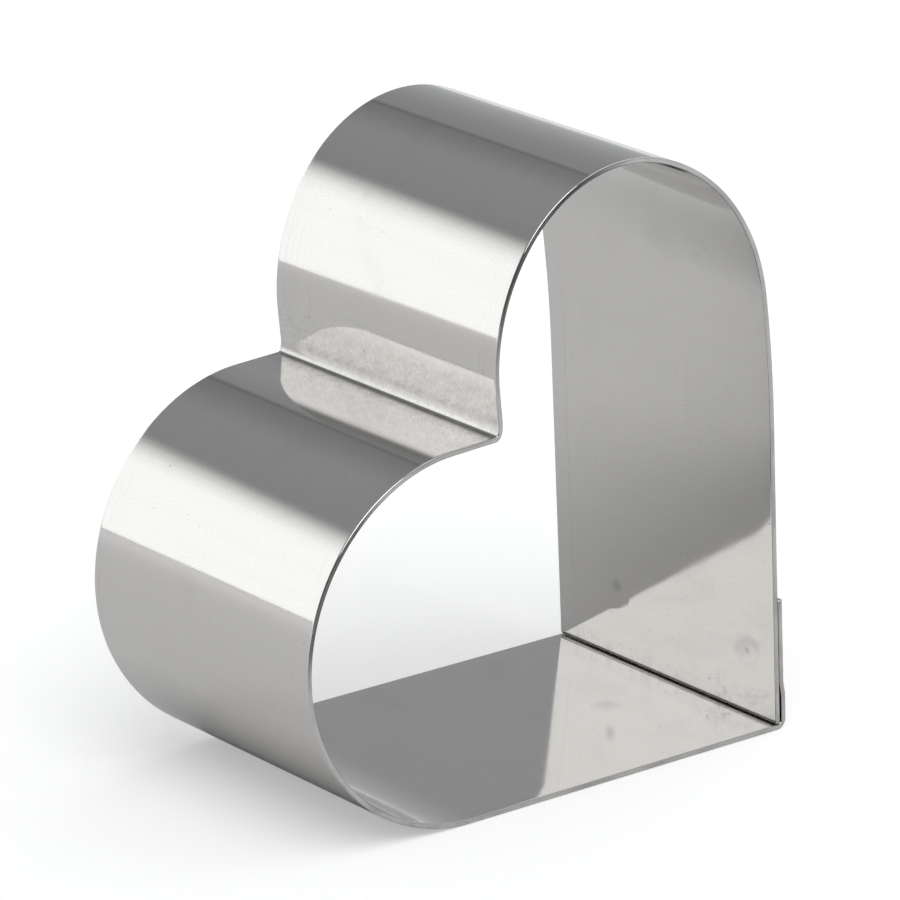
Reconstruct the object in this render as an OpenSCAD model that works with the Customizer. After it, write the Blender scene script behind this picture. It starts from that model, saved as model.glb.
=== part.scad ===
// Heart-shaped cookie cutter, bent from one strip of thin stainless sheet.
// The strip is folded at the dip, rolled round both lobes and closed at the tip,
// where its first end laps up the outside of its last end and two spot welds hold it.
// The cutter stands on its lower straight side, the base. X runs along the base
// towards the tip, Y across the strip from the front rim to the rear rim, Z up.
// Lengths are in millimetres and angles in degrees. Every lobe radius is measured
// to the outside of the sheet.

/* [Strip] */
// Width of the strip, which is how deep the cutter cuts
strip_w = 45; // [20:0.5:80]
// Thickness of the sheet
sheet_t = 0.8; // [0.5:0.05:1.2]

/* [Lower lobe] */
// Radius where the base rises into the lobe
lower_r1 = 30; // [22:0.1:40]
// Angle that this first arc turns
lower_a1 = 61.9; // [40:0.1:75]
// Radius of the lobe's far end
lower_r2 = 25.7; // [18:0.1:34]
// Angle that this second arc turns
lower_a2 = 63.8; // [45:0.1:80]
// Radius of the lobe's return towards the dip
lower_r3 = 24.9; // [18:0.1:34]
// Angle that the lobe turns in all, from the base to the dip
lower_turn = 176.8; // [170:0.1:184]
// Straight stretch between the lobe and the dip, measured to the dip's corner
lower_tail = 7.9; // [3:0.1:14]

/* [Upper lobe] */
// Radius of the slight bow at the top of the wall
wall_r = 190; // [120:5:400]
// Angle that this bow turns
wall_a = 5.8; // [1:0.1:9]
// Radius where the wall leans over into the lobe
upper_r1 = 29; // [22:0.1:40]
// Angle that this first arc turns
upper_a1 = 63; // [40:0.1:75]
// Radius of the lobe's crown
upper_r2 = 21.5; // [16:0.1:30]
// Angle that this second arc turns
upper_a2 = 73.2; // [55:0.1:85]
// Radius of the lobe's return towards the dip
upper_r3 = 26.3; // [18:0.1:34]
// Angle that the lobe and the bow turn in all, from the wall to the dip
upper_turn = 183.5; // [176:0.1:190]
// Straight stretch between the lobe and the dip, measured to the dip's corner
upper_tail = 5.9; // [3:0.1:14]

/* [Dip] */
// Inside radius of the dip's bend
fold_r = 0.6; // [0.2:0.1:1.2]

/* [Tip and lap] */
// Angle between the base and the wall
tip_angle = 84.6; // [74:0.1:94]
// Inside radius of the bend that turns the base up into the lap
tip_r = 0.7; // [0.3:0.1:1.2]
// How far the lap reaches up the outside of the wall
lap_reach = 19.5; // [16:0.5:30]
// Gap left between the lap and the wall where they come closest
lap_gap = 0.03; // [0.02:0.01:0.1]
// How far the foot of the lap steps out from the wall
lap_step = 0.3; // [0.1:0.05:0.6]
// Length of the lap over which it makes that step
step_len = 3; // [2:0.1:3.5]
// Gap under the foot of the wall, above the base
foot_gap = 0.15; // [0.1:0.05:0.6]

/* [Spot welds] */
// Height of both welds, measured up the wall from the tip
weld_up = 10.6; // [9:0.1:14]
// Distance of the front weld from the front rim
front_weld_in = 5.7; // [4:0.1:9]
// Distance of the rear weld from the rear rim
rear_weld_in = 12.5; // [4:0.1:20]
// Diameter of the fused metal between the sheets
nugget_d = 3.6; // [2:0.1:4.5]
// Diameter of the print that the welding electrode leaves on each outer face
print_d = 5; // [3:0.1:6]
// Depth of that print
print_depth = 0.06; // [0.02:0.01:0.1]

/* [Hidden] */

steel = [0.74, 0.74, 0.73];
weld_tint = [0.6, 0.57, 0.52];

// Distance from the electrode prints down to the lap's step
print_to_step = 0.5;
// Share of each sheet's thickness that the fused metal reaches into
nugget_bite_share = 0.5;
// Extra length of a cutter beyond the face that it enters
overrun = 1;
// Farthest that the outline's points let a chord stray from its true arc
chord_error = 0.01;
// Facets of a weld's round faces
weld_facets = 60;

// A pose is [x, z, heading], and the heading counts from +X towards +Z. A path is a
// list of [size, turn]: a straight run of that length where turn is 0, or else a bend
// whose outer line has that radius, to the right of the heading where turn is
// positive. The sheet lies on the right of its outer line.
function after(pose, part) =
    let (size = part[0], turn = part[1], heading = pose[2], side = sign(turn))
    turn == 0
    ? [pose[0] + size * cos(heading), pose[1] + size * sin(heading), heading]
    : [
        pose[0] + side * size * (sin(heading) - sin(heading - turn)),
        pose[1] - side * size * (cos(heading) - cos(heading - turn)),
        heading - turn
    ];
function steps(part) =
    part[1] == 0 ? 1 : ceil(abs(part[1]) / (2 * acos(1 - chord_error / part[0])));
function along(pose, part) =
    let (count = steps(part))
    [for (i = [1:count]) after(pose, part[1] == 0 ? part : [part[0], part[1] * i / count])];
function last(list) = list[len(list) - 1];
function all_but_last(list) = [for (i = [0:1:len(list) - 2]) list[i]];
// Every pose that a path passes through, from the one where it starts
function walk(pose, path, i = 0) =
    i == len(path)
    ? [pose]
    : let (stretch = along(pose, path[i]))
        concat([pose], all_but_last(stretch), walk(last(stretch), path, i + 1));
function offset_by(path, heading) = last(walk([0, 0, heading], path));

// Headings of the base, and of the wall on its way down to the tip
base_heading = 180;
wall_heading = -tip_angle;

// The lobes, each in the order in which the strip runs through it. The upper one
// ends in the wall's bow.
lower_lobe = [
    [lower_r1, lower_a1],
    [lower_r2, lower_a2],
    [lower_r3, lower_turn - lower_a1 - lower_a2]
];
upper_lobe = [
    [upper_r3, upper_turn - upper_a1 - upper_a2 - wall_a],
    [upper_r2, upper_a2],
    [upper_r1, upper_a1],
    [wall_r, wall_a]
];

// The straight sides are as long as the lobes and the tip need to meet. The tip is
// the point where the outer lines of the base and the wall cross, taken as [0, 0].
lower_tail_heading = base_heading - lower_turn;
upper_tail_heading = wall_heading + upper_turn;
lower_span = offset_by(concat(lower_lobe, [[lower_tail, 0]]), base_heading);
upper_span = offset_by(concat([[upper_tail, 0]], upper_lobe), upper_tail_heading);
wall_len = (lower_span[1] + upper_span[1]) / sin(tip_angle);
base_len = lower_span[0] + upper_span[0] + wall_len * cos(tip_angle);

// The dip is one bend to the left. It starts short of the corner where the two
// tails would cross.
fold_turn = upper_tail_heading - lower_tail_heading;
fold_setback = fold_r * tan(fold_turn / 2);

// The lap lies along the wall, and below the electrode prints it steps out from it.
// The step is a bend to the left and an equal one back.
step_up = weld_up - print_d / 2 - print_to_step;
step_turn = 2 * atan(lap_step / step_len);
step_r = (step_len / sin(step_turn) - sheet_t) / 2;
step = [[step_r, -step_turn], [step_r + sheet_t, step_turn]];
tip_bend = [tip_r + sheet_t, wall_heading + base_heading];
step_drop = -offset_by(step, wall_heading)[1];
tip_bend_drop = -offset_by([tip_bend], wall_heading)[1];
step_start = [
    -step_up * cos(tip_angle) + (sheet_t + lap_gap) * sin(tip_angle),
    step_up * sin(tip_angle) + (sheet_t + lap_gap) * cos(tip_angle)
];
lap_top_run = lap_reach - step_up;
lap_low_run = (step_start[1] - step_drop - tip_bend_drop) / sin(tip_angle);
lap_start = after([step_start[0], step_start[1], wall_heading], [-lap_top_run, 0]);
lap = concat([[lap_top_run, 0]], step, [[lap_low_run, 0]], [tip_bend]);
base_start = last(walk(lap_start, lap));

// The wall stops short of the tip, so that its foot clears the base
foot_up = (sheet_t + foot_gap + sheet_t * cos(tip_angle)) / sin(tip_angle);

// The whole strip, from the top of the lap to the foot of the wall
strip_path = concat(
    lap,
    [[base_len + base_start[0], 0]],
    lower_lobe,
    [[lower_tail - fold_setback, 0]],
    [[fold_r, -fold_turn]],
    [[upper_tail - fold_setback, 0]],
    upper_lobe,
    [[wall_len - foot_up, 0]]
);
strip_poses = walk(lap_start, strip_path);
outer_line = [for (p = strip_poses) [p[0], p[1]]];
inner_line = [for (p = strip_poses) [p[0] + sheet_t * sin(p[2]), p[1] - sheet_t * cos(p[2])]];
outer_x = [for (p = outer_line) p[0]];
middle_x = (min(outer_x) + max(outer_x)) / 2;

// Places the tip so that the cutter's middle is at X zero
module from_tip() {
    translate([-middle_x, 0, 0])
        children();
}

// The bent sheet, which is the strip before it is welded
module bent_sheet() {
    last_point = len(inner_line) - 1;
    from_tip()
        translate([0, strip_w / 2, 0])
            rotate([90, 0, 0])
                linear_extrude(height = strip_w)
                    polygon(concat(outer_line, [for (i = [last_point:-1:0]) inner_line[i]]));
}

// A weld's axis leaves the wall's outer face at its own height and goes outwards
module at_weld(y) {
    from_tip()
        translate([-weld_up * cos(tip_angle), y, weld_up * sin(tip_angle)])
            rotate([0, tip_angle - 90, 0])
                rotate([0, 90, 0])
                    children();
}

front_weld_y = -strip_w / 2 + front_weld_in;
rear_weld_y = strip_w / 2 - rear_weld_in;
nugget_bite = nugget_bite_share * sheet_t;

module nugget() {
    translate([0, 0, -nugget_bite])
        cylinder(h = 2 * nugget_bite + lap_gap, d = nugget_d, $fn = weld_facets);
}

// The electrodes leave a shallow round print on the inside of the wall and on the
// outside of the lap
module electrode_prints() {
    translate([0, 0, -sheet_t - overrun])
        cylinder(h = print_depth + overrun, d = print_d, $fn = weld_facets);
    translate([0, 0, lap_gap + sheet_t - print_depth])
        cylinder(h = print_depth + overrun, d = print_d, $fn = weld_facets);
}

module strip() {
    color(steel)
        difference() {
            bent_sheet();
            for (y = [front_weld_y, rear_weld_y])
                at_weld(y) {
                    nugget();
                    electrode_prints();
                }
        }
}

module spot_weld_front() {
    color(weld_tint) at_weld(front_weld_y) nugget();
}

module spot_weld_rear() {
    color(weld_tint) at_weld(rear_weld_y) nugget();
}

strip();
spot_weld_front();
spot_weld_rear();
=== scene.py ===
# %% [markdown]
# A heart-shaped pastry cutter, bent from one strip of thin bright stainless sheet. The strip is
# folded at the dip, rolled round both lobes, and closed at the tip, where its first end laps up the
# outside of its last end and two spot welds hold it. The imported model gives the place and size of
# every piece, so this lesson only loads it and dresses it. Lengths are written in millimetres, as
# a tinsmith would, and MM turns them into Blender's metres.

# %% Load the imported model
import math

import bmesh
import bpy
from mathutils import Matrix, Vector, noise


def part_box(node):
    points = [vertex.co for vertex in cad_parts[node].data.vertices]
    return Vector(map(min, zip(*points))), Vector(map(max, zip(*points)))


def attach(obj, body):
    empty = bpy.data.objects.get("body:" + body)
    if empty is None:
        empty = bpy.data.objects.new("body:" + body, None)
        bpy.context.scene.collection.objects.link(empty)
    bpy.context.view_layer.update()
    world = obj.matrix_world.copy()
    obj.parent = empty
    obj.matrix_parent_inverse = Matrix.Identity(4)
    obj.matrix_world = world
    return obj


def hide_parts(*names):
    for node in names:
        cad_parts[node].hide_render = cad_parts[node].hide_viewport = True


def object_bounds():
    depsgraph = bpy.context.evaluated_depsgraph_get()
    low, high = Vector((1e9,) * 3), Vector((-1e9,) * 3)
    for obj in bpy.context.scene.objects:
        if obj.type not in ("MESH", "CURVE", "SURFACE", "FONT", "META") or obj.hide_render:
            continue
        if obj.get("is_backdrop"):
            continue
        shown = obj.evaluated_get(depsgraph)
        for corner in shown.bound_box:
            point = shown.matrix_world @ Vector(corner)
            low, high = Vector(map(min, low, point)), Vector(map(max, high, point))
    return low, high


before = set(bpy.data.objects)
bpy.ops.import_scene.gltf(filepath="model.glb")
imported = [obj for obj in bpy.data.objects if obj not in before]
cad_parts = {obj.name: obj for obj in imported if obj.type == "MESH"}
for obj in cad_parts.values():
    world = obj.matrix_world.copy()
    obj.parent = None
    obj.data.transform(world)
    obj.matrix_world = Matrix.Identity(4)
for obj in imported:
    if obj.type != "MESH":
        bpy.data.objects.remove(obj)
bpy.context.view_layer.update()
MM = 0.001

# %% [markdown]
# The camera stands in front of the cutter, to its left and a little above it, far away behind a
# long lens, as for a product picture. Its place and its three angles could be turned by hand until
# the outline fits. Here they were worked out beforehand from the outline, and are only written down.

# %% The camera
CAMERA_PLACE = Vector((-452.93, -512.44, 274.08)) * MM
CAMERA_YAW = math.radians(41.427)
CAMERA_PITCH = math.radians(-18.648)
CAMERA_ROLL = math.radians(-1.884)
SENSOR_WIDTH = 36.0
LENS = 214.2

forward = Vector((
    math.sin(CAMERA_YAW) * math.cos(CAMERA_PITCH),
    math.cos(CAMERA_YAW) * math.cos(CAMERA_PITCH),
    math.sin(CAMERA_PITCH),
))
level_right = Vector((math.cos(CAMERA_YAW), -math.sin(CAMERA_YAW), 0.0))
level_up = level_right.cross(forward)
level_axes = Matrix((level_right, level_up, -forward)).transposed()
roll = Matrix.Rotation(-CAMERA_ROLL, 3, "Z")

camera_data = bpy.data.cameras.new("camera")
camera_data.sensor_width = SENSOR_WIDTH
camera_data.lens = LENS
camera_data.clip_start = 0.05
camera_data.clip_end = 50.0
camera = bpy.data.objects.new("camera", camera_data)
camera.matrix_world = Matrix.Translation(CAMERA_PLACE) @ (level_axes @ roll).to_4x4()
bpy.context.scene.collection.objects.link(camera)
bpy.context.scene.camera = camera
bpy.context.scene.view_settings.view_transform = "Standard"
print("camera looks along", [round(c, 3) for c in forward])

# %% [markdown]
# A few small helpers serve the whole lesson. One turns a finished bmesh into an object at the
# origin, with its place in its mesh. The others add shader nodes and fill in their sockets, with a
# number or with what another node puts out, so that each material reads as a short list.

# %% Helpers for meshes and nodes


def new_object(name, bm, smooth=True):
    mesh = bpy.data.meshes.new(name)
    for face in bm.faces:
        face.smooth = smooth
    bm.to_mesh(mesh)
    bm.free()
    made = bpy.data.objects.new(name, mesh)
    bpy.context.scene.collection.objects.link(made)
    return made


def new_material(name):
    material = bpy.data.materials.new(name)
    material.use_nodes = True
    material.node_tree.nodes.clear()
    return material, material.node_tree


def add_node(tree, kind, inputs=None, **settings):
    node = tree.nodes.new(kind)
    for name, value in settings.items():
        setattr(node, name, value)
    for socket, value in (inputs or {}).items():
        if isinstance(value, bpy.types.NodeSocket):
            tree.links.new(value, node.inputs[socket])
        else:
            node.inputs[socket].default_value = value
    return node


def math_node(tree, operation, *values):
    return add_node(tree, "ShaderNodeMath", dict(enumerate(values)), operation=operation).outputs[0]


def smooth_step(tree, value, start, end, low=0.0, high=1.0):
    """Eases from low to high while the value goes from start to end."""
    limits = {"Value": value, "From Min": start, "From Max": end, "To Min": low, "To Max": high}
    node = add_node(tree, "ShaderNodeMapRange", limits, interpolation_type="SMOOTHSTEP")
    return node.outputs["Result"]


def fading(tree, value, start, end):
    """Stays 1 up to start and eases to 0 at end."""
    return math_node(tree, "SUBTRACT", 1.0, smooth_step(tree, value, start, end))


print("helpers are ready")

# %% [markdown]
# The floor is one large white sheet. A white background could be made with more light, but that
# would bleach the metal. Here a little glow is added only where the camera or a mirror looks at it,
# and the rest is plain diffuse paper, which keeps the soft shadow. For mirrors the glow also paints
# a shade round the object: it is nothing in the middle of that painted shade, a little behind the
# cutter, and grows with the distance from there.

# %% The floor
FLOOR_HALF = 4.0
FLOOR_WHITE = (0.8, 0.8, 0.8, 1.0)
FLOOR_GLOW = 0.37
PAINTED_SHADE_MIDDLE = Vector((30.0, 110.0, 0.0)) * MM
MIRROR_NEAR = 0.0
MIRROR_FAR = 0.48
MIRROR_FADE = 750.0 * MM

bm = bmesh.new()
bmesh.ops.create_grid(bm, x_segments=1, y_segments=1, size=FLOOR_HALF)
floor = new_object("floor", bm, smooth=False)
floor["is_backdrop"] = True

paper, tree = new_material("white_paper")
light_path = add_node(tree, "ShaderNodeLightPath")
place = add_node(tree, "ShaderNodeTexCoord").outputs["Object"]
# Painted shade: the mirrors' glow is nothing at a point behind the cutter and grows away from it.
from_painted_shade = add_node(tree, "ShaderNodeVectorMath", {0: place, 1: PAINTED_SHADE_MIDDLE}, operation="DISTANCE")
glow_out_of_painted_shade = smooth_step(tree, from_painted_shade.outputs["Value"], 0.0, MIRROR_FADE, MIRROR_NEAR, MIRROR_FAR)
mirrored = math_node(tree, "MULTIPLY", light_path.outputs["Is Glossy Ray"], glow_out_of_painted_shade)
seen = math_node(tree, "MAXIMUM", light_path.outputs["Is Camera Ray"], mirrored)
seen = math_node(tree, "MAXIMUM", seen, light_path.outputs["Is Transmission Ray"])
glow = math_node(tree, "MULTIPLY", seen, FLOOR_GLOW)
diffuse = add_node(tree, "ShaderNodeBsdfDiffuse", {"Color": FLOOR_WHITE})
emission = add_node(tree, "ShaderNodeEmission", {"Color": (1.0, 1.0, 1.0, 1.0), "Strength": glow})
both = add_node(tree, "ShaderNodeAddShader", {0: diffuse.outputs[0], 1: emission.outputs[0]})
add_node(tree, "ShaderNodeOutputMaterial", {"Surface": both.outputs[0]})
floor.data.materials.append(paper)
print("floor is", 2 * FLOOR_HALF, "m wide")

# %% [markdown]
# Polished sheet has almost no colour of its own, so what it mirrors makes the picture. The studio
# is a pale tent. Its cloth is light at the horizon and grey higher up, which gives the lobes their
# grey tops. A seam stands behind the cutter on the right: the cloth darkens towards it, and starts
# lighter beyond it. The opening for the camera, in front on the left, is dark. Cloth could be
# modelled for all this, but it is a smooth function of the direction, so it belongs in the world.

# %% The tent, made by the world
TENT_COLOUR = (0.955, 0.98, 1.0, 1.0)
TENT_LIGHT = [(0.0, 0.58), (0.06, 0.505), (0.14, 0.457), (0.27, 0.418), (0.38, 0.379), (0.56, 0.33),
              (0.66, 0.357), (1.0, 0.417)]
SEAM_AT = 26.6
SEAM_HALF = 1.9
SEAM_LIGHT = 0.72
NEAR_SEAM_LIGHT = 0.76
NEAR_SEAM_FROM = 2.0
OPENING_WAY = Vector((-0.66, -0.75, 0.2)).normalized()
OPENING_INSIDE = 0.9
OPENING_OUTSIDE = 0.75
OPENING_LIGHT = 0.2

world = bpy.data.worlds.new("tent")
bpy.context.scene.world = world
world.use_nodes = True
tree = world.node_tree
tree.nodes.clear()
direction = add_node(tree, "ShaderNodeTexCoord").outputs["Generated"]
parts = add_node(tree, "ShaderNodeSeparateXYZ", {"Vector": direction})
cloth = add_node(tree, "ShaderNodeValToRGB", {"Fac": parts.outputs["Z"]})
while len(cloth.color_ramp.elements) < len(TENT_LIGHT):
    cloth.color_ramp.elements.new(0.5)
for stop, (height, light) in zip(cloth.color_ramp.elements, TENT_LIGHT):
    stop.position = height
    stop.color = (light, light, light, 1.0)
turned = math_node(tree, "ARCTAN2", parts.outputs["X"], parts.outputs["Y"])
turned = math_node(tree, "DEGREES", turned)
near_seam = smooth_step(tree, turned, NEAR_SEAM_FROM, SEAM_AT, 1.0, NEAR_SEAM_LIGHT)
before_seam = math_node(tree, "LESS_THAN", turned, SEAM_AT)
off_seam = math_node(tree, "ABSOLUTE", math_node(tree, "SUBTRACT", turned, SEAM_AT))
seam = smooth_step(tree, off_seam, 0.0, SEAM_HALF, SEAM_LIGHT, 1.0)
shade = add_node(tree, "ShaderNodeMix", {0: before_seam, 2: 1.0, 3: near_seam}).outputs[0]
shade = math_node(tree, "MULTIPLY", shade, seam)
to_opening = add_node(tree, "ShaderNodeVectorMath", {0: direction, 1: OPENING_WAY},
                      operation="DOT_PRODUCT").outputs["Value"]
opening = smooth_step(tree, to_opening, OPENING_OUTSIDE, OPENING_INSIDE, 1.0, OPENING_LIGHT)
shade = math_node(tree, "MULTIPLY", shade, opening)
strength = math_node(tree, "MULTIPLY", shade, cloth.outputs["Color"])
background = add_node(tree, "ShaderNodeBackground", {"Color": TENT_COLOUR, "Strength": strength})
add_node(tree, "ShaderNodeOutputWorld", {"Surface": background.outputs[0]})
print("tent has", len(cloth.color_ramp.elements), "shades from the horizon up")

# %% [markdown]
# The bright band on both lobes is the picture of one large lit panel, which leans back behind the
# cutter on its left. Its lower edge is sharp and its upper part fades out. A plain area lamp has
# four hard edges, so the panel is a plane with a glow that fades across it. It is hidden from the
# camera, as a real one is kept out of the picture, and it is for mirrors alone: the paper has its
# light from the tent and the two soft lamps.

# %% The lit panel on the left, behind the cutter
PANEL_COLOUR = (0.985, 1.0, 1.0, 1.0)
PANEL_LIGHT = 1.47
PANEL_TURN = math.radians(40.0)
PANEL_LEAN = math.radians(38.2)
PANEL_AWAY = 250.0 * MM
PANEL_LOW = 35.0 * MM
PANEL_WIDTH = 560.0 * MM
PANEL_SLOPE = 680.0 * MM
PANEL_FADE_FROM = 250.0 * MM
PANEL_FADE_TO = 655.0 * MM
LOBES_MIDDLE = Vector((-13.0, 0.0, 0.0)) * MM

bm = bmesh.new()
bmesh.ops.create_grid(bm, x_segments=1, y_segments=1, size=0.5)
bmesh.ops.scale(bm, vec=(PANEL_WIDTH, PANEL_SLOPE, 1.0), verts=bm.verts)
bmesh.ops.translate(bm, vec=(0.0, PANEL_SLOPE / 2, 0.0), verts=bm.verts)
panel = new_object("panel", bm, smooth=False)
panel_way = Vector((-math.sin(PANEL_TURN), math.cos(PANEL_TURN), 0.0))
panel.location = LOBES_MIDDLE + panel_way * PANEL_AWAY + Vector((0.0, 0.0, PANEL_LOW))
panel.rotation_euler = (math.radians(90.0) - PANEL_LEAN, 0.0, PANEL_TURN)
panel.visible_camera = False
panel.visible_diffuse = False
panel.visible_shadow = False
panel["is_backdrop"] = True

lit_cloth, tree = new_material("lit_cloth")
place = add_node(tree, "ShaderNodeTexCoord").outputs["Object"]
upwards = add_node(tree, "ShaderNodeSeparateXYZ", {"Vector": place}).outputs["Y"]
clearness = smooth_step(tree, upwards, PANEL_FADE_FROM, PANEL_FADE_TO)
emission = add_node(tree, "ShaderNodeEmission", {"Color": PANEL_COLOUR, "Strength": PANEL_LIGHT})
clear = add_node(tree, "ShaderNodeBsdfTransparent")
back_side = add_node(tree, "ShaderNodeNewGeometry").outputs["Backfacing"]
clearness = math_node(tree, "MAXIMUM", clearness, back_side)
mixed = {0: clearness, 1: emission.outputs[0], 2: clear.outputs[0]}
lit_side = add_node(tree, "ShaderNodeMixShader", mixed)
add_node(tree, "ShaderNodeOutputMaterial", {"Surface": lit_side.outputs[0]})
panel.data.materials.append(lit_cloth)
print("panel stands at, mm:", [round(c / MM) for c in panel.location])

# %% [markdown]
# Two broad soft lamps light the paper. One stands high in front of the cutter, on its left, and
# throws the soft shadow that lies behind it. The other stands on its right, and throws the fainter
# one on its left. Sun lamps with a wide angle do this with the same light everywhere on the floor.

# %% The soft lamps
SOFT_LAMPS = {
    "front_lamp": {"from": (-0.38, -0.55, 1.0), "power": 1.36, "angle": 50.0},
    "right_lamp": {"from": (1.0, -0.1, 1.0), "power": 0.6, "angle": 80.0},
}
for name, values in SOFT_LAMPS.items():
    lamp_data = bpy.data.lights.new(name, "SUN")
    lamp_data.angle = math.radians(values["angle"])
    lamp_data.energy = values["power"]
    lamp = bpy.data.objects.new(name, lamp_data)
    lamp.rotation_mode = "QUATERNION"
    lamp.rotation_quaternion = Vector(values["from"]).to_track_quat("Z", "Y")
    bpy.context.scene.collection.objects.link(lamp)
    print(name, "shines with", values["power"])

# %% [markdown]
# The strip is drawn as a tinsmith would set it out: a list of straight runs and bends, each with its
# length or outer radius and the angle that it turns. The sheet lies on the right of its outer line.
# The values are those of the cutter's own source, apart from the dip, which is drawn closer here: a
# tight bend with a wider shoulder above it, where the source has one plain bend.

# %% The cutter's own sizes
STRIP_WIDTH = 45.0
SHEET = 0.8
LOWER_LOBE_BENDS = [(30.0, 61.9), (25.7, 63.8), (24.9, 51.1)]
LOWER_TAIL = 7.9
UPPER_LOBE_BENDS = [(26.3, 41.5), (21.5, 73.2), (29.0, 63.0)]
WALL_BOW = (190.0, 5.8)
UPPER_TAIL = 5.9
DIP_RADIUS = 0.4
DIP_SHOULDER = (3.6, 24.0)
TIP_ANGLE = 84.6
TIP_RADIUS = 0.7
LAP_REACH = 19.5
LAP_GAP = 0.03
LAP_STEP = 0.3
STEP_LENGTH = 3.0
FOOT_GAP = 0.15
WELD_UP = 10.6
FRONT_WELD_IN = 5.7
REAR_WELD_IN = 12.5
PRINT_WIDTH = 5.0
PRINT_TO_STEP = 0.5
print("strip is", STRIP_WIDTH, "mm wide, in", SHEET, "mm sheet")

# %% [markdown]
# A pose is a place on the outer line and the heading there. One helper moves a pose along a run or a
# bend, and another along a list of them. With these, the straight sides and the ends of the tails
# come out of the lobes and the tip, because the strip has to close. They could be typed in as
# numbers, but then every change to a lobe would open the heart.

# %% From one pose to the next


def sine(angle):
    return math.sin(math.radians(angle))


def cosine(angle):
    return math.cos(math.radians(angle))


def after(pose, size, turn):
    x, z, heading = pose
    if turn == 0:
        return (x + size * cosine(heading), z + size * sine(heading), heading)
    side = math.copysign(1.0, turn)
    new_x = x + side * size * (sine(heading) - sine(heading - turn))
    new_z = z - side * size * (cosine(heading) - cosine(heading - turn))
    return (new_x, new_z, heading - turn)


def end_of(pose, stretches):
    for size, turn in stretches:
        pose = after(pose, size, turn)
    return pose


lower_turn = sum(turn for _, turn in LOWER_LOBE_BENDS)
upper_turn = sum(turn for _, turn in UPPER_LOBE_BENDS + [WALL_BOW])
upper_heading = upper_turn - TIP_ANGLE
lower_span = end_of((0, 0, 180), LOWER_LOBE_BENDS + [(LOWER_TAIL, 0)])
upper_span = end_of((0, 0, upper_heading), [(UPPER_TAIL, 0)] + UPPER_LOBE_BENDS + [WALL_BOW])
wall_length = (lower_span[1] + upper_span[1]) / sine(TIP_ANGLE)
base_length = lower_span[0] + upper_span[0] + wall_length * cosine(TIP_ANGLE)

dip_turn = upper_heading - (180 - lower_turn)
shoulder_radius, shoulder_turn = DIP_SHOULDER
dip_bends = [(DIP_RADIUS, shoulder_turn - dip_turn), (shoulder_radius, -shoulder_turn)]
dip_end = end_of((0, 0, 0), dip_bends)
upper_tail_cut = dip_end[1] / sine(dip_turn)
lower_tail_cut = dip_end[0] - upper_tail_cut * cosine(dip_turn)
print("base", round(base_length, 3), "wall", round(wall_length, 3), "dip turns", round(dip_turn, 2))

# %% [markdown]
# The lap lies along the outside of the wall. Below the welds it steps out a little, by a bend to the
# left and an equal one back, so that the tip has room for its bend. The whole route then runs from
# the top of the lap to the foot of the wall. Each row names a stretch, and gives its length or
# radius, its turn, and how far apart its rings of points may stand: close in the tight bends.

# %% The lap and the whole route
step_up = WELD_UP - PRINT_WIDTH / 2 - PRINT_TO_STEP
step_turn = 2 * math.degrees(math.atan(LAP_STEP / STEP_LENGTH))
step_radius = (STEP_LENGTH / sine(step_turn) - SHEET) / 2
lap_step = [(step_radius, -step_turn), (step_radius + SHEET, step_turn)]
lap_top = (
    -step_up * cosine(TIP_ANGLE) + (SHEET + LAP_GAP) * sine(TIP_ANGLE),
    step_up * sine(TIP_ANGLE) + (SHEET + LAP_GAP) * cosine(TIP_ANGLE),
    -TIP_ANGLE,
)
lap_top_run = LAP_REACH - step_up
lap_start = after(lap_top, -lap_top_run, 0)
tip_bend = (TIP_RADIUS + SHEET, 180 - TIP_ANGLE)
step_end = end_of(lap_top, lap_step)
tip_drop = -end_of((0, 0, step_end[2]), [tip_bend])[1]
lap_low_run = (step_end[1] - tip_drop) / sine(TIP_ANGLE)
base_start = end_of(step_end, [(lap_low_run, 0), tip_bend])
foot_up = (SHEET + FOOT_GAP + SHEET * cosine(TIP_ANGLE)) / sine(TIP_ANGLE)

WALL_LOW_RUN = 26.0
route = [
    ("lap_top", lap_top_run, 0, 0.5),
    *[("lap_step", *bend, 0.3) for bend in lap_step],
    ("lap_low", lap_low_run, 0, 0.5),
    ("tip_bend", *tip_bend, 0.15),
    ("base", base_length + base_start[0], 0, 1.0),
    *[("lower_lobe", *bend, 1.0) for bend in LOWER_LOBE_BENDS],
    ("lower_tail", LOWER_TAIL - lower_tail_cut, 0, 0.5),
    ("dip", *dip_bends[0], 0.06),
    ("dip_shoulder", *dip_bends[1], 0.12),
    ("upper_tail", UPPER_TAIL - upper_tail_cut, 0, 0.5),
    *[("upper_lobe", *bend, 1.0) for bend in UPPER_LOBE_BENDS],
    ("wall_bow", *WALL_BOW, 1.0),
    ("wall", wall_length - foot_up - WALL_LOW_RUN, 0, 1.0),
    ("wall_low", WALL_LOW_RUN, 0, 0.5),
]
print("route has", len(route), "stretches, lap low run", round(lap_low_run, 3))

# %% [markdown]
# The sheet's cross-section is a long thin rectangle. It could be typed in as points, but a grid
# face with its corners bevelled gives the small rounding that shearing and deburring leave. Extra
# points across the width carry the later dents, and they stand closer together towards the rims,
# so that the smooth shading of the rounded corners doesn't spill over the flat faces. Each point
# remembers where it is across the strip and how deep it is in the sheet, and every ring that grows
# from it inherits that.

# %% The cross-section
CORNER_ROUND = 0.22
CORNER_STEPS = 4
HOLD = 0.14
ACROSS_CUTS = 59
EVEN_SHARE = 0.55

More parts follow.
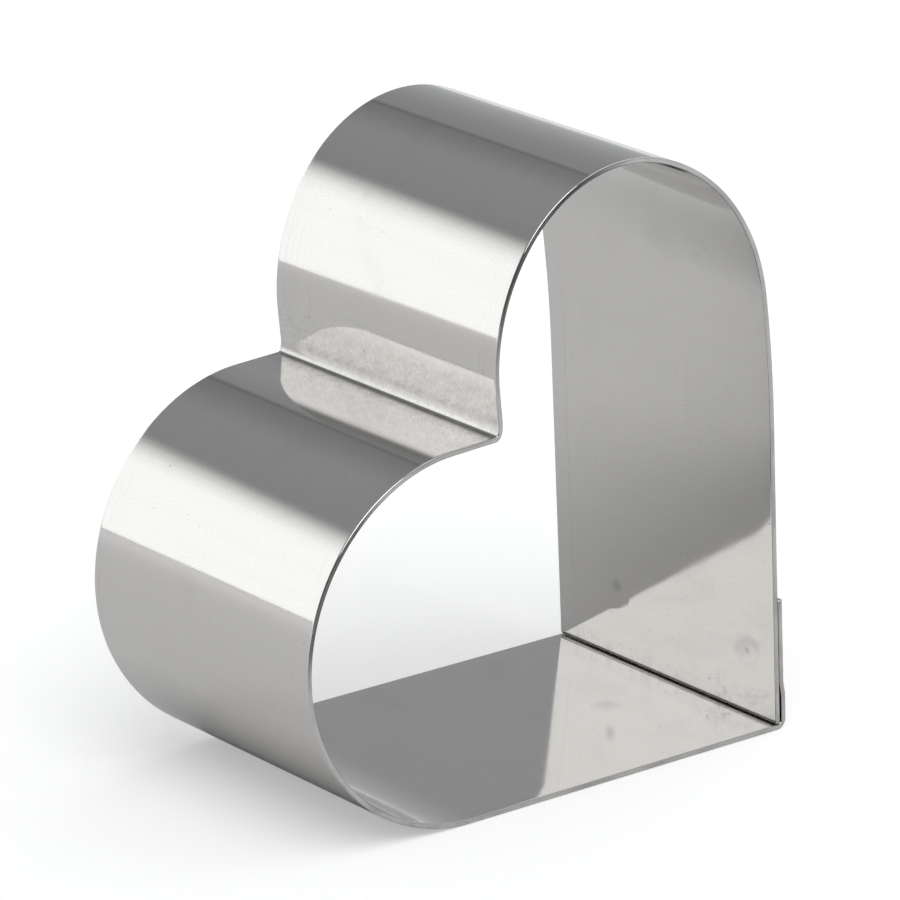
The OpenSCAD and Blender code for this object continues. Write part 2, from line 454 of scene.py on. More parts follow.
bm = bmesh.new()
across = bm.verts.layers.float.new("across")
depth = bm.verts.layers.float.new("depth")
along = bm.verts.layers.float.new("along")
heading_layer = bm.verts.layers.float.new("heading")
bmesh.ops.create_grid(bm, x_segments=1, y_segments=1, size=0.5)
bmesh.ops.scale(bm, vec=(STRIP_WIDTH, SHEET, 1.0), verts=bm.verts)
bmesh.ops.bevel(bm, geom=bm.verts[:], offset=CORNER_ROUND, offset_type="OFFSET",
                segments=CORNER_STEPS, profile=0.5, affect="VERTICES", material=-1)
long_edges = [edge for edge in bm.edges if edge.calc_length() > STRIP_WIDTH / 2]
bmesh.ops.subdivide_edges(bm, edges=long_edges, cuts=ACROSS_CUTS)
half_run = STRIP_WIDTH / 2 - CORNER_ROUND
even_spacing = 2 * half_run / (ACROSS_CUTS + 1)
outermost = (ACROSS_CUTS - 1) / 2
for vert in bm.verts:
    if abs(vert.co.x) < half_run - even_spacing / 2:
        share = round(abs(vert.co.x) / even_spacing) / outermost
        eased = EVEN_SHARE * share + (1 - EVEN_SHARE) * sine(90 * share)
        vert.co.x = math.copysign((half_run - HOLD) * eased, vert.co.x)
    vert[across] = vert.co.x
    vert[depth] = vert.co.y + SHEET / 2
print("section has", len(bm.verts), "points")

# %% [markdown]
# The section was drawn flat on the ground. It has to stand at the top of the lap, with its width
# across the strip and its thickness towards the inside of the heart. It could be turned by three
# angles, but a matrix made of the three directions themselves leaves nothing to work out.

# %% Stand the section at the start of the route
AXIS = Vector((0.0, 1.0, 0.0))


def heading_vector(heading):
    return Vector((cosine(heading), 0.0, sine(heading)))


def depth_vector(heading):
    return Vector((sine(heading), 0.0, -cosine(heading)))


def mark_ring(verts, distance, heading):
    for vert in verts:
        vert[along] = distance
        vert[heading_layer] = heading


pose = lap_start
corner = Vector((pose[0], 0.0, pose[1]))
into_place = Matrix((AXIS, depth_vector(pose[2]), heading_vector(pose[2]))).transposed().to_4x4()
into_place.translation = corner + depth_vector(pose[2]) * SHEET / 2
bmesh.ops.transform(bm, matrix=into_place, verts=bm.verts)
mark_ring(bm.verts, 0.0, pose[2])
ring = [edge for edge in bm.edges if edge.is_boundary]
print("the first ring has", len(ring), "edges")

# %% [markdown]
# The section is carried along the route ring by ring. One operator makes both kinds of stretch:
# spin with an angle rolls a bend round its centre, and spin with no angle but a shift draws a
# straight run. A curve with a bevel object could do it in one go, but it would twist or thin the
# sheet in the tight bends.

# %% Roll the strip
walked = 0.0
stretch_starts = {}
for name, size, turn, spacing in route:
    stretch_starts.setdefault(name, walked)
    length = size if turn == 0 else math.radians(abs(turn)) * size
    steps = max(1, math.ceil(length / spacing))
    start_walked = walked
    for step in range(1, steps + 1):
        x, z, heading = pose
        shift = heading_vector(heading) * size / steps if turn == 0 else Vector()
        centre = Vector((x, 0.0, z)) + depth_vector(heading) * size * math.copysign(1.0, turn)
        grown = bmesh.ops.spin(bm, geom=ring, cent=centre, axis=AXIS, dvec=shift,
                               angle=math.radians(turn / steps), steps=1)["geom_last"]
        ring_verts = {part for part in grown if isinstance(part, bmesh.types.BMVert)}
        ring = [part for part in grown if isinstance(part, bmesh.types.BMEdge)
                and ring_verts.issuperset(part.verts)]
        pose = after(pose, size / steps if turn == 0 else size, turn / steps)
        walked = start_walked + length * step / steps
        mark_ring(ring_verts, walked, pose[2])
bmesh.ops.holes_fill(bm, edges=ring)
bmesh.ops.recalc_face_normals(bm, faces=bm.faces)
total_length = walked
open_edges = [edge for edge in bm.edges if not edge.is_manifold]
print("strip is", round(total_length, 2), "mm long,", len(bm.faces), "faces, open edges:", len(open_edges))
print("end pose", [round(c, 3) for c in pose])
print("stretches start at", {name: round(start, 1) for name, start in stretch_starts.items()})

# %% [markdown]
# The bare route is too perfect. On the real sheet the inner face falls away a little towards the
# rims, the rolls leave it faintly wavy, and the spot welder's electrodes leave a shallow round dish
# on both outer sides of each weld, with a small wrinkle in the wall by the rear one. These are
# true dents of a few hundredths of a millimetre, and mirrors show them well. Every dent goes into
# the metal, so the cutter grows nowhere.

# %% Dents and waves
ROLL_OFF = 0.03
ROLL_OFF_WIDTH = 3.0
WAVE_DEPTH = 0.024
WAVE_LENGTH = 20.0
WAVE_SEED = 0.0
DISH_DEPTH = 0.06
WRINKLE_DEPTH = 0.06
WRINKLE_LENGTH = 1.3
WRINKLE_REACH = 4.5
WRINKLE_SEED = 7.0

weld_across = [FRONT_WELD_IN - STRIP_WIDTH / 2, STRIP_WIDTH / 2 - REAR_WELD_IN]
wall_weld_along = total_length - (WELD_UP - foot_up)
lap_weld_along = LAP_REACH - WELD_UP


def falloff(distance, reach):
    share = min(1.0, distance / reach)
    return 1.0 - share * share * (3.0 - 2.0 * share)


def ripple(vert, length, seed):
    return 0.5 + 0.5 * noise.noise(Vector((vert[along], vert[across], seed)) / length)


def dish(vert, at_along, at_across):
    distance = math.hypot(vert[along] - at_along, vert[across] - at_across)
    return DISH_DEPTH * falloff(distance, PRINT_WIDTH / 2)


def wrinkle(vert):
    distance = math.hypot(vert[along] - wall_weld_along, vert[across] - weld_across[1])
    uneven = ripple(vert, WRINKLE_LENGTH, WRINKLE_SEED)
    return WRINKLE_DEPTH * uneven * falloff(distance, WRINKLE_REACH)


for vert in bm.verts:
    outwards = -depth_vector(vert[heading_layer])
    shift = -WAVE_DEPTH * ripple(vert, WAVE_LENGTH, WAVE_SEED)
    if vert[depth] > SHEET / 2:
        shift += WAVE_DEPTH
        from_rim = STRIP_WIDTH / 2 - abs(vert[across])
        shift += ROLL_OFF * max(0.0, 1.0 - from_rim / ROLL_OFF_WIDTH) ** 2
        shift += max(dish(vert, wall_weld_along, place) for place in weld_across)
        shift += wrinkle(vert)
    else:
        shift -= max(dish(vert, lap_weld_along, place) for place in weld_across)
    vert.co += outwards * shift
print("welds at, mm along:", round(lap_weld_along, 2), round(wall_weld_along, 2), "across:", weld_across)

# %% [markdown]
# The finish follows the metal through every bend, so the sheet gets a map that is the flat strip
# before it was rolled: U runs along it and V across it, both in real metres. The inner face and the
# cut edges lie beside the outer face in the same map, far enough off that no mark shows twice. The
# two end faces are the only ones with more than four corners, which is how the loop knows them.

# %% The unrolled map
INNER_OFFSET = 100.0
RIM_OFFSET = 200.0

unrolled = bm.loops.layers.uv.new("unrolled")
for face in bm.faces:
    middle_depth = sum(vert[depth] for vert in face.verts) / len(face.verts)
    on_rim = all(abs(vert[across]) > half_run + CORNER_ROUND / 2 for vert in face.verts)
    on_end = len(face.verts) > 4
    face.material_index = int(on_rim or on_end)
    for loop in face.loops:
        if on_rim:
            place = (loop.vert[along], loop.vert[depth] + RIM_OFFSET)
        elif on_end:
            place = (loop.vert[across], loop.vert[depth] + RIM_OFFSET)
        else:
            place = (loop.vert[along], loop.vert[across] + INNER_OFFSET * (middle_depth > SHEET / 2))
        loop[unrolled].uv = Vector(place) * MM
print("faces on the cut edges:", sum(face.material_index for face in bm.faces))

# %% [markdown]
# The route starts at the tip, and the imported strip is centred, so the mesh is moved by the middle
# of its own width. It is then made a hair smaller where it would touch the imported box, goes into
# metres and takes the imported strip's place.

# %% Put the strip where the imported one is
CLEARANCE = 0.0015

low, high = (corner / MM for corner in map(Vector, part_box("strip")))
xs = [vert.co.x for vert in bm.verts]
middle_x = (min(xs) + max(xs)) / 2
bmesh.ops.translate(bm, vec=(-middle_x, 0.0, CLEARANCE), verts=bm.verts)
reach = [max(abs(vert.co[axis]) for vert in bm.verts) for axis in range(3)]
fits = [min(1.0, (high[axis] - CLEARANCE) / reach[axis]) * MM for axis in range(3)]
bmesh.ops.scale(bm, vec=fits, verts=bm.verts)
strip = new_object("rolled_strip", bm)
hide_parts("strip")
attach(strip, "root")
print("packed strip's box, mm:", [[round(c, 4) for c in corner] for corner in (low, high)])
print("scaled to fit by", [round(fit / MM, 6) for fit in fits])

# %% [markdown]
# The finishes share a few effects: fine lines that rolling and shearing draw out, cloudy smudges,
# small specks, single spots and single scratches. Their nodes could be repeated in every material,
# but each is a node group with named inputs, built once. All of them are placed in millimetres,
# on the sheet by the unrolled map and on the welds by the object's own place, and put out one mask.

# %% Helpers for the shared effects


def new_effect(name, inputs):
    group = bpy.data.node_groups.new(name, "ShaderNodeTree")
    for label in inputs:
        group.interface.new_socket(label, in_out="INPUT", socket_type="NodeSocketFloat")
    group.interface.new_socket("Mask", in_out="OUTPUT", socket_type="NodeSocketFloat")
    return group, add_node(group, "NodeGroupInput").outputs


def end_effect(group, mask):
    add_node(group, "NodeGroupOutput", {"Mask": mask})
    print("effect", group.name, "has", len(group.nodes), "nodes")


def effect(tree, group, **inputs):
    named = {label.replace("_", " ").capitalize(): value for label, value in inputs.items()}
    return add_node(tree, "ShaderNodeGroup", named, node_tree=group).outputs["Mask"]


def stretched_noise(group, along, across, seed, **settings):
    """Reads noise at a place that was divided by the lengths its marks should have."""
    place = add_node(group, "ShaderNodeCombineXYZ", {0: along, 1: across, 2: seed}).outputs[0]
    inputs = {"Vector": place, "Scale": 1.0, **settings}
    return add_node(group, "ShaderNodeTexNoise", inputs).outputs["Fac"]


# %% [markdown]
# Rolls and shears draw every flaw out along the strip, so drawn lines are noise that is stretched
# one way. Smudges have no direction, so clouds are noise that is as long as it is wide, with all
# but its peaks cut off.

# %% Drawn lines and clouds
drawn_lines, given = new_effect("drawn_lines", ["Along", "Across", "Length", "Spacing", "Seed"])
long_way = math_node(drawn_lines, "DIVIDE", given["Along"], given["Length"])
short_way = math_node(drawn_lines, "DIVIDE", given["Across"], given["Spacing"])
lines = stretched_noise(drawn_lines, long_way, short_way, given["Seed"], Detail=3.0, Roughness=0.6)
end_effect(drawn_lines, lines)

clouds, given = new_effect("clouds", ["Along", "Across", "Size", "Seed", "Start", "End"])
long_way = math_node(clouds, "DIVIDE", given["Along"], given["Size"])
short_way = math_node(clouds, "DIVIDE", given["Across"], given["Size"])
cloud = stretched_noise(clouds, long_way, short_way, given["Seed"],
                        Detail=4.0, Roughness=0.62, Distortion=0.3)
end_effect(clouds, smooth_step(clouds, cloud, given["Start"], given["End"]))

# %% [markdown]
# Specks are a scatter of tiny dots. Each cell of a Voronoi pattern holds one, and only a share of
# the cells is used, picked by their random colours, so that the dots don't stand in rows. Painting
# them one by one would take hundreds of rows.

# %% Specks
specks, given = new_effect("specks", ["Along", "Across", "Cell", "Radius", "Share", "Seed"])
long_way = math_node(specks, "DIVIDE", given["Along"], given["Cell"])
long_way = math_node(specks, "ADD", long_way, given["Seed"])
short_way = math_node(specks, "DIVIDE", given["Across"], given["Cell"])
place = add_node(specks, "ShaderNodeCombineXYZ", {0: long_way, 1: short_way}).outputs[0]
cells = add_node(specks, "ShaderNodeTexVoronoi", {"Vector": place, "Scale": 1.0},
                 voronoi_dimensions="2D")
chance = add_node(specks, "ShaderNodeSeparateColor", {"Color": cells.outputs["Color"]}).outputs["Red"]
chosen = math_node(specks, "LESS_THAN", chance, given["Share"])
size = math_node(specks, "DIVIDE", given["Radius"], given["Cell"])
dot = fading(specks, cells.outputs["Distance"], 0.0, size)
end_effect(specks, math_node(specks, "MULTIPLY", dot, chosen))

# %% [markdown]
# A single mark is found by its distance from one place on the strip. A spot fades outwards from its
# core, all round. A scratch is a thin slanting line that fades to both sides and tapers at its ends.

# %% Spots and scratches
TAPER_SHARE = 0.3

spot, given = new_effect("spot", ["Along", "Across", "At along", "At across", "Radius", "Core"])
off_along = math_node(spot, "SUBTRACT", given["Along"], given["At along"])
off_across = math_node(spot, "SUBTRACT", given["Across"], given["At across"])
off = add_node(spot, "ShaderNodeCombineXYZ", {0: off_along, 1: off_across}).outputs[0]
off = add_node(spot, "ShaderNodeVectorMath", {0: off}, operation="LENGTH").outputs["Value"]
end_effect(spot, fading(spot, off, given["Core"], given["Radius"]))

scratch, given = new_effect(
    "scratch", ["Along", "Across", "At along", "At across", "Length", "Width", "Slant"])
off_along = math_node(scratch, "SUBTRACT", given["Along"], given["At along"])
drift = math_node(scratch, "MULTIPLY", off_along, given["Slant"])
off_across = math_node(scratch, "SUBTRACT", given["Across"], given["At across"])
off_across = math_node(scratch, "SUBTRACT", off_across, drift)
half_length = math_node(scratch, "MULTIPLY", given["Length"], 0.5)
taper_from = math_node(scratch, "MULTIPLY", given["Length"], TAPER_SHARE)
line = fading(scratch, math_node(scratch, "ABSOLUTE", off_across), 0.0, given["Width"])
ends = fading(scratch, math_node(scratch, "ABSOLUTE", off_along), taper_from, half_length)
end_effect(scratch, math_node(scratch, "MULTIPLY", line, ends))

# %% [markdown]
# A finish is built up as a tone that multiplies the metal's colour, and each mask changes it a
# little. All three finishes end in the same few nodes, so one helper makes those in the material
# itself: the coloured metal, its roughness, and a relief from the height.

# %% Helpers for tones and metal
TO_MM = 1000.0


def in_millimetres(tree, place):
    place = add_node(tree, "ShaderNodeVectorMath", {0: place, "Scale": TO_MM}, operation="SCALE")
    return add_node(tree, "ShaderNodeSeparateXYZ", {0: place.outputs[0]}).outputs


def varied(tree, mask, contrast):
    """Swings round 1 by the contrast as the mask goes from 0 to 1."""
    return math_node(tree, "MULTIPLY_ADD", mask, contrast, 1.0 - contrast / 2)


def shaded(tree, tone, mask, change):
    """Multiplies the tone by 1 where the mask is 0, and by 1 + change where it is 1."""
    factor = math_node(tree, "MULTIPLY_ADD", mask, change, 1.0)
    return math_node(tree, "MULTIPLY", tone, factor)


def end_metal(tree, base, tone, roughness, height, relief_depth):
    colour = add_node(tree, "ShaderNodeVectorMath", {0: base, "Scale": tone}, operation="SCALE")
    relief = add_node(tree, "ShaderNodeBump", {"Height": height, "Distance": relief_depth})
    shader = add_node(tree, "ShaderNodeBsdfPrincipled", {
        "Base Color": colour.outputs[0],
        "Metallic": 1.0,
        "Roughness": roughness,
        "Normal": relief.outputs[0],
    })
    add_node(tree, "ShaderNodeOutputMaterial", {"Surface": shader.outputs[0]})
    print("finish has", len(tree.nodes), "nodes")


# %% [markdown]
# The sheet is bright rolled stainless. It is a mirror with a little haze, not a brushed face, so its
# grain changes the tone only a little, and more of it is in the height of the surface: hair lines
# along the strip from the rolls that made it, and faint chatter across it from the rolls that bent
# it. Handling left smudges, pits and light flecks, and scuffs towards the rims.

# %% The rolled sheet's grain and smudges
GRAIN_CONTRAST = 0.3
CHATTER_CONTRAST = 0.05
SMUDGE_TONE = -0.04
SCUFF_FROM = 14.0
SCUFF_HAIR_FROM = 0.5
SCUFF_HAIR_TO = 0.7

steel, tree = new_material("rolled_steel")
flat_map = in_millimetres(tree, add_node(tree, "ShaderNodeUVMap", uv_map="unrolled").outputs["UV"])
u, v = flat_map["X"], flat_map["Y"]
inner = math_node(tree, "GREATER_THAN", v, INNER_OFFSET / 2)
on_strip = math_node(tree, "MULTIPLY_ADD", inner, -INNER_OFFSET, v)

hair = effect(tree, drawn_lines, along=u, across=v, length=14.0, spacing=0.3, seed=1.0)
chatter = effect(tree, drawn_lines, along=v, across=u, length=60.0, spacing=1.8, seed=2.0)
grain = effect(tree, drawn_lines, along=u, across=v, length=0.24, spacing=0.24, seed=3.0)
smudge = effect(tree, clouds, along=u, across=v, size=11.0, seed=4.0, start=0.5, end=0.75)
pits = effect(tree, specks, along=u, across=v, cell=4.6, radius=0.2, share=0.25, seed=6.0)
flecks = effect(tree, specks, along=u, across=v, cell=2.6, radius=0.13, share=0.3, seed=7.0)

by_rims = smooth_step(tree, math_node(tree, "ABSOLUTE", on_strip), SCUFF_FROM, STRIP_WIDTH / 2)
scuffs = smooth_step(tree, hair, SCUFF_HAIR_FROM, SCUFF_HAIR_TO)
scuffs = math_node(tree, "MULTIPLY", scuffs, by_rims)
tone = varied(tree, grain, GRAIN_CONTRAST)
tone = math_node(tree, "MULTIPLY", tone, varied(tree, chatter, CHATTER_CONTRAST))
tone = shaded(tree, tone, smudge, SMUDGE_TONE)
print("sheet's own marks take", len(tree.nodes), "nodes")

# %% [markdown]
# Folding worked the metal hard, so both tails by the dip are mottled and streaky. A painted highlight
# makes them paler, most of all in front, above the fold. Right on the fold the shoulder is rougher
# and darkened by painted shade, and a band of painted shade lies under the fold, in patches. A faint
# row of roll marks shows where the upper lobe begins. Each is a mask on the distance along the strip,
# so it follows the bend exactly.

# %% Wear, painted highlight and painted shade by the dip
DIP_STAIN_REACH = 11.0
STAIN_TONE = -0.08
WORKED_TONE = -0.44
DIP_PAINTED_HIGHLIGHT_TONE = 0.26
FRONT_HIGHLIGHT_FROM = -8.0
FRONT_HIGHLIGHT_TO = 14.0
FRONT_HIGHLIGHT_TONE = 0.08
FOLD_HALF = 0.5
FOLD_REACH = 2.5
SHOULDER_PAINTED_SHADE_TONE = -0.13
FOLD_SHADE_CORE = 0.9
FOLD_SHADE_REACH = 3.4
FOLD_SHADE_TONE = -0.27
ROLL_MARKS_AT = 177.6
ROLL_MARKS_CORE = 2.0
ROLL_MARKS_REACH = 3.6
ROLL_MARKS_TONE = -0.07
SCUFF_TONE = -0.05
PIT_TONE = -0.3
FLECK_TONE = 0.1

strokes = effect(tree, drawn_lines, along=u, across=v, length=0.7, spacing=0.26, seed=5.0)
mottle = effect(tree, clouds, along=u, across=v, size=1.6, seed=5.5, start=0.4, end=0.7)
off_dip = math_node(tree, "ABSOLUTE", math_node(tree, "SUBTRACT", u, stretch_starts["dip"]))
by_dip = fading(tree, off_dip, DIP_STAIN_REACH / 2, DIP_STAIN_REACH)
worked = math_node(tree, "MULTIPLY", strokes, by_dip)
stain = math_node(tree, "MULTIPLY", mottle, by_dip)
tone = shaded(tree, tone, stain, STAIN_TONE)
tone = shaded(tree, tone, worked, WORKED_TONE)
# Painted highlight: the tails by the dip are made paler.
tone = shaded(tree, tone, by_dip, DIP_PAINTED_HIGHLIGHT_TONE)

# Painted highlight: paler in front, above the fold.
front_painted_highlight = smooth_step(tree, math_node(tree, "MULTIPLY", on_strip, -1.0), FRONT_HIGHLIGHT_FROM, FRONT_HIGHLIGHT_TO)
above_fold = math_node(tree, "GREATER_THAN", u, stretch_starts["dip"])
front_painted_highlight = math_node(tree, "MULTIPLY", math_node(tree, "MULTIPLY", front_painted_highlight, by_dip), above_fold)
tone = shaded(tree, tone, front_painted_highlight, FRONT_HIGHLIGHT_TONE)

by_fold = fading(tree, off_dip, FOLD_HALF, FOLD_REACH)
# Painted shade: the shoulder right above the fold is darker.
tone = shaded(tree, tone, math_node(tree, "MULTIPLY", by_fold, above_fold), SHOULDER_PAINTED_SHADE_TONE)

# Painted shade: a patchy dark band under the fold.
below_fold = math_node(tree, "SUBTRACT", stretch_starts["dip"], u)
fold_painted_shade = fading(tree, below_fold, FOLD_SHADE_CORE, FOLD_SHADE_REACH)
fold_painted_shade = math_node(tree, "MULTIPLY", fold_painted_shade, math_node(tree, "GREATER_THAN", below_fold, 0.0))
patchy = math_node(tree, "MULTIPLY_ADD", mottle, 0.5, 0.5)
tone = shaded(tree, tone, math_node(tree, "MULTIPLY", fold_painted_shade, patchy), FOLD_SHADE_TONE)

off_roll_marks = math_node(tree, "ABSOLUTE", math_node(tree, "SUBTRACT", u, ROLL_MARKS_AT))
by_roll_marks = fading(tree, off_roll_marks, ROLL_MARKS_CORE, ROLL_MARKS_REACH)
tone = shaded(tree, tone, math_node(tree, "MULTIPLY", chatter, by_roll_marks), ROLL_MARKS_TONE)
for mask, change in ((scuffs, SCUFF_TONE), (pits, PIT_TONE), (flecks, FLECK_TONE)):
    tone = shaded(tree, tone, mask, change)
print("dip lies", round(stretch_starts["dip"], 1), "mm along the strip")

# %% [markdown]
# Painted shade darkens the crease between the foot of the wall and the base. It is darkest in the
# corner and fades within a few millimetres, in patches. The crease has two sides, and each is
# measured along the strip from where it meets the corner.

# %% Painted shade in the crease
CREASE_SHADE_CORE = 0.8
CREASE_SHADE_CORE_TONE = -0.2
CREASE_SHADE_REACH = 3.2
CREASE_SHADE_HALO_TONE = -0.14

off_foot = math_node(tree, "SUBTRACT", total_length, u)
on_base = math_node(tree, "MULTIPLY", inner, math_node(tree, "LESS_THAN", u, total_length / 2))
off_corner = math_node(tree, "SUBTRACT", u, stretch_starts["base"])
# Painted shade: darkest in the crease, with a patchy halo round it.
for distance, face_mask in ((off_foot, inner), (off_corner, on_base)):
    core = fading(tree, distance, 0.0, CREASE_SHADE_CORE)
    halo = math_node(tree, "MULTIPLY", fading(tree, distance, 0.0, CREASE_SHADE_REACH), mottle)
    tone = shaded(tree, tone, math_node(tree, "MULTIPLY", core, face_mask), CREASE_SHADE_CORE_TONE)
    tone = shaded(tree, tone, math_node(tree, "MULTIPLY", halo, face_mask), CREASE_SHADE_HALO_TONE)
print("painted_crease_shade reaches", CREASE_SHADE_REACH, "mm out of the crease")

# %% [markdown]
# A used cutter also has single marks: the heat rings of the two welds, stains, specks and scratches.
# One wide faint spot among them is painted shade.
# They could be scattered by chance, but each has its own place on this cutter, so they are written
# down. A spot's row gives its face, its place along and across the flat strip, its radius, its core
# and how much it darkens. A scratch's row has its length, width and slant instead of a radius.

# %% Single marks
INNER, OUTER = INNER_OFFSET, 0.0
SMEAR_AND_SHADE_RADIUS = 3.2
front_weld, rear_weld = weld_across
WELD_PLACES = [
    (INNER, wall_weld_along, front_weld, 1.0),
    (OUTER, lap_weld_along, front_weld, 2.4),
    (OUTER, lap_weld_along, rear_weld, 2.0),
]
WELD_RINGS = [(0.75, 0.0, -0.26), (3.1, 2.1, -0.055), (2.3, 1.3, 0.05)]
SPOTS = [
    *[(face, at_along, at_across, radius, core, change * share)
      for face, at_along, at_across, share in WELD_PLACES
      for radius, core, change in WELD_RINGS],
    (INNER, wall_weld_along - 1.6, rear_weld, 1.5, 0.1, -0.26),
    (INNER, 313.2, -12.0, 3.4, 0.2, -0.2),
    (INNER, 312.8, -9.0, 0.45, 0.0, -0.3),
    (INNER, 24.8, -14.5, 4.6, 0.3, -0.18),
    (INNER, 34.8, -2.6, 3.0, 0.2, -0.16),
    (INNER, 34.1, -13.0, 0.28, 0.0, -0.4),
    # Painted shade: this wide faint spot darkens the inner face where the upper lobe meets the wall.
    (INNER, 247.3, -11.0, 4.2, 0.5, -0.1),
    (OUTER, 192.8, 9.3, 1.4, 0.2, -0.06),
    (OUTER, 172.0, 4.4, 0.35, 0.0, -0.4),
    (OUTER, 139.6, 14.2, 0.3, 0.0, -0.35),
]
SCRATCHES = [
    (INNER, 285.0, 19.4, 62.0, 0.14, 0.0, -0.12),
    (INNER, 270.4, -5.7, 15.0, 0.12, 0.03, -0.1),
    (INNER, 297.0, 3.0, 9.0, 0.1, -0.5, -0.06),
    (OUTER, 184.0, 20.9, 26.0, 0.14, 0.03, -0.08),
    (OUTER, 181.0, 19.7, 22.0, 0.12, 0.05, -0.06),
    (OUTER, 186.0, 18.5, 20.0, 0.12, -0.02, -0.06),
    (OUTER, 175.0, 15.4, 12.0, 0.14, 0.0, -0.1),
    (OUTER, 174.7, -19.1, 8.0, 0.16, -0.05, -0.12),
]
for face_start, at_along, at_across, radius, core, change in SPOTS:
    mask = effect(tree, spot, along=u, across=v, at_along=at_along,
                  at_across=at_across + face_start, radius=radius, core=core)
    if change < 0 and radius > SMEAR_AND_SHADE_RADIUS:
        mask = math_node(tree, "MULTIPLY", mask, mottle)
    tone = shaded(tree, tone, mask, change)
for face_start, at_along, at_across, length, width, slant, change in SCRATCHES:
    mask = effect(tree, scratch, along=u, across=v, at_along=at_along,
                  at_across=at_across + face_start, length=length, width=width, slant=slant)
    tone = shaded(tree, tone, mask, change)
print("single marks:", len(SPOTS) + len(SCRATCHES))

# %% [markdown]
# What dulls the tone also roughens the mirror a little, most of all in the pits. The relief adds the
# heights of the grain, and the puckers that the rear weld's heat pulled into the wall, streaky and
# finer than the dents of the mesh. All heights are in millimetres, so the bump's distance is MM.

# %% Roughness, relief and shader of the rolled sheet
STEEL_COLOUR = (0.65, 0.635, 0.62)
STEEL_ROUGHNESS = 0.075
MORE_ROUGHNESS = [(smudge, 0.05), (stain, 0.05), (pits, 0.2), (by_fold, 0.08)]
HAIR_HEIGHT = 0.0004
MORE_HEIGHT = [(chatter, 0.004), (grain, 0.0003), (worked, 0.0008), (pits, -0.004)]
PUCKER_HEIGHT = 0.018
PUCKER_ALONG = wall_weld_along + 0.5
PUCKER_ACROSS = rear_weld - 1.6

roughness = STEEL_ROUGHNESS
for mask, rise in MORE_ROUGHNESS:
    roughness = math_node(tree, "MULTIPLY_ADD", mask, rise, roughness)

puckers = effect(tree, drawn_lines, along=u, across=v, length=2.6, spacing=0.9, seed=12.0)
by_rear_weld = effect(tree, spot, along=u, across=v, at_along=PUCKER_ALONG,
                      at_across=PUCKER_ACROSS + INNER, radius=5.2, core=0.6)
puckers = math_node(tree, "MULTIPLY", puckers, by_rear_weld)
height = math_node(tree, "MULTIPLY", hair, HAIR_HEIGHT)
for mask, rise in [*MORE_HEIGHT, (puckers, PUCKER_HEIGHT)]:
    height = math_node(tree, "MULTIPLY_ADD", mask, rise, height)
end_metal(tree, STEEL_COLOUR, tone, roughness, height, MM)
strip.data.materials.append(steel)

# %% [markdown]
# The rims and the two ends are sheared, not polished. Shears leave a duller, torn face with streaks
# along its length. Painted shade darkens it towards both corners, and makes it much darker, in
# streaks, along one stretch of each lobe.

# %% The sheared rims
RIM_COLOUR = (0.6, 0.595, 0.585)
RIM_ROUGHNESS = 0.22
STREAK_CONTRAST = 0.6
PATCH_TONE = -0.2
CORNER_SHADE_TONE = -0.15
STREAK_ROUGHNESS = 0.15
STREAK_DEPTH = 0.004 * MM
CORNER_FROM = SHEET * 0.2
CORNER_TO = SHEET * 0.42
SHADED_STRETCHES = [(174.0, 216.0, -1.5), (118.0, 148.0, -1.3)]

sheared, tree = new_material("sheared_rim")
flat_map = in_millimetres(tree, add_node(tree, "ShaderNodeUVMap", uv_map="unrolled").outputs["UV"])
u, v = flat_map["X"], flat_map["Y"]
streaks = effect(tree, drawn_lines, along=u, across=v, length=9.0, spacing=0.12, seed=8.0)
patches = effect(tree, clouds, along=u, across=v, size=6.0, seed=9.0, start=0.4, end=0.65)
off_middle = math_node(tree, "ABSOLUTE", math_node(tree, "SUBTRACT", v, RIM_OFFSET + SHEET / 2))
corners = smooth_step(tree, off_middle, CORNER_FROM, CORNER_TO)
tone = varied(tree, streaks, STREAK_CONTRAST)
tone = shaded(tree, tone, patches, PATCH_TONE)
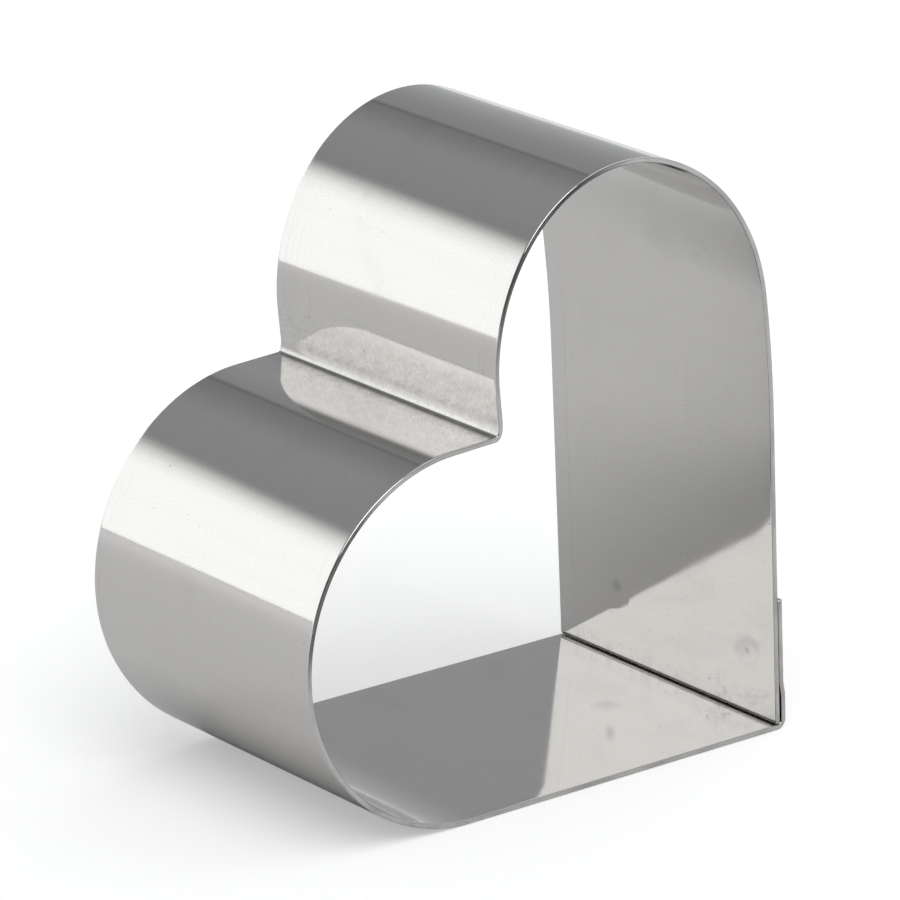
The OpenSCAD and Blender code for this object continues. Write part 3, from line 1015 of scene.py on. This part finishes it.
# Painted shade: the rim is darker towards both corners.
tone = shaded(tree, tone, corners, CORNER_SHADE_TONE)
# Painted shade: much darker, in streaks, along one stretch of each lobe.
for start, end, change in SHADED_STRETCHES:
    off_shaded_stretch = math_node(tree, "ABSOLUTE", math_node(tree, "SUBTRACT", u, (start + end) / 2))
    stretch_shade = fading(tree, off_shaded_stretch, (end - start) / 4, (end - start) / 2)
    tone = shaded(tree, tone, math_node(tree, "MULTIPLY", stretch_shade, streaks), change)
roughness = math_node(tree, "MULTIPLY_ADD", streaks, STREAK_ROUGHNESS, RIM_ROUGHNESS)
end_metal(tree, RIM_COLOUR, tone, roughness, streaks, STREAK_DEPTH)
strip.data.materials.append(sheared)

# %% [markdown]
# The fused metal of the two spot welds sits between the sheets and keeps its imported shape. It gets a
# finish of its own all the same: dull grey with a straw tint where it cooled in air.

# %% The fused metal
FUSED_COLOUR = (0.52, 0.5, 0.46)
FUSED_ROUGHNESS = 0.25
TINT_CONTRAST = 0.3
TINT_DARKEST = 0.8
RIPPLE_ROUGHNESS = 0.2
RIPPLE_DEPTH = 0.01 * MM

fused, tree = new_material("fused_metal")
place = in_millimetres(tree, add_node(tree, "ShaderNodeTexCoord").outputs["Object"])
z, y = place["Z"], place["Y"]
tint = effect(tree, clouds, along=z, across=y, size=1.4, seed=10.0, start=0.35, end=0.7)
ripples = effect(tree, drawn_lines, along=z, across=y, length=0.5, spacing=0.3, seed=11.0)
tone = math_node(tree, "MULTIPLY_ADD", tint, TINT_CONTRAST, TINT_DARKEST)
roughness = math_node(tree, "MULTIPLY_ADD", ripples, RIPPLE_ROUGHNESS, FUSED_ROUGHNESS)
end_metal(tree, FUSED_COLOUR, tone, roughness, ripples, RIPPLE_DEPTH)
for name in ("spot_weld_front", "spot_weld_rear"):
    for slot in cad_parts[name].material_slots:
        slot.material = fused
print("strip finishes:", [material.name for material in strip.data.materials])

# %% [markdown]
# The box round the dressed model, without the backdrop, is measured and printed in millimetres.

low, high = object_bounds()
print("visual box, mm:", [[round(c / MM, 3) for c in corner] for corner in (low, high)])
